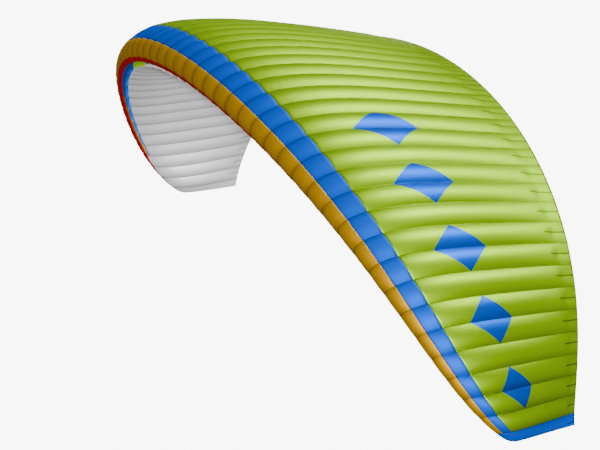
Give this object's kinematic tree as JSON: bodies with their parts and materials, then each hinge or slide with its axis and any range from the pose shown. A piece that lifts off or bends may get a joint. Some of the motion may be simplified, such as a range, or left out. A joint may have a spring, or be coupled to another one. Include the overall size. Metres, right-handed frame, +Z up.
{
  "type": "inflated paraglider wing, without its lines",
  "caption": "Paraglider wing as it flies: an arched ram-air canopy of sewn cloth cells, with an air intake along the nose and thin ribs inside.",
  "frame": {"origin": "on the outer face of the lower skin at the middle rib, 30% of the chord behind the nose, where the suspension lines take hold of the wing", "axes": "+X along the span towards the right wing tip, -Y towards the leading edge, +Z up"},
  "size_m": [9.5234, 2.7339, 2.9303],
  "materials": {
    "lime": "smooth silicone-coated ripstop nylon, lime green",
    "blue": "smooth silicone-coated ripstop nylon, blue",
    "gold": "smooth silicone-coated ripstop nylon, gold",
    "red": "smooth silicone-coated ripstop nylon, red",
    "white": "smooth silicone-coated ripstop nylon, white",
    "rib_white": "firm resin-finished ripstop nylon, white"
  },
  "bodies": {
    "root": {"upper_skin_left": "lime", "upper_skin_right": "lime", "blue_band": "blue", "gold_nose_band_left_inner": "gold", "gold_nose_band_left_outer": "gold", "gold_nose_band_right_inner": "gold", "gold_nose_band_right_outer": "gold", "red_intake_lip_left": "red", "red_intake_lip_right": "red", "lower_skin_left": "white", "lower_skin_right": "white", "tip_panel_left": "blue", "tip_panel_right": "blue", "rib_middle": "rib_white", "rib_left_01": "rib_white", "rib_left_02": "rib_white", "rib_left_03": "rib_white", "rib_left_04": "rib_white", "rib_left_05": "rib_white", "rib_left_06": "rib_white", "rib_left_07": "rib_white", "rib_left_08": "rib_white", "rib_left_09": "rib_white", "rib_left_10": "rib_white", "rib_left_11": "rib_white", "rib_left_12": "rib_white", "rib_left_13": "rib_white", "rib_left_14": "rib_white", "rib_left_15": "rib_white", "rib_left_16": "rib_white", "rib_left_17": "rib_white", "rib_left_18": "rib_white", "rib_left_19": "rib_white", "rib_left_20": "rib_white", "rib_left_21": "rib_white", "rib_left_22": "rib_white", "rib_left_23": "rib_white", "rib_right_01": "rib_white", "rib_right_02": "rib_white", "rib_right_03": "rib_white", "rib_right_04": "rib_white", "rib_right_05": "rib_white", "rib_right_06": "rib_white", "rib_right_07": "rib_white", "rib_right_08": "rib_white", "rib_right_09": "rib_white", "rib_right_10": "rib_white", "rib_right_11": "rib_white", "rib_right_12": "rib_white", "rib_right_13": "rib_white", "rib_right_14": "rib_white", "rib_right_15": "rib_white", "rib_right_16": "rib_white", "rib_right_17": "rib_white", "rib_right_18": "rib_white", "rib_right_19": "rib_white", "rib_right_20": "rib_white", "rib_right_21": "rib_white", "rib_right_22": "rib_white", "rib_right_23": "rib_white"}
  },
  "joints": []
}
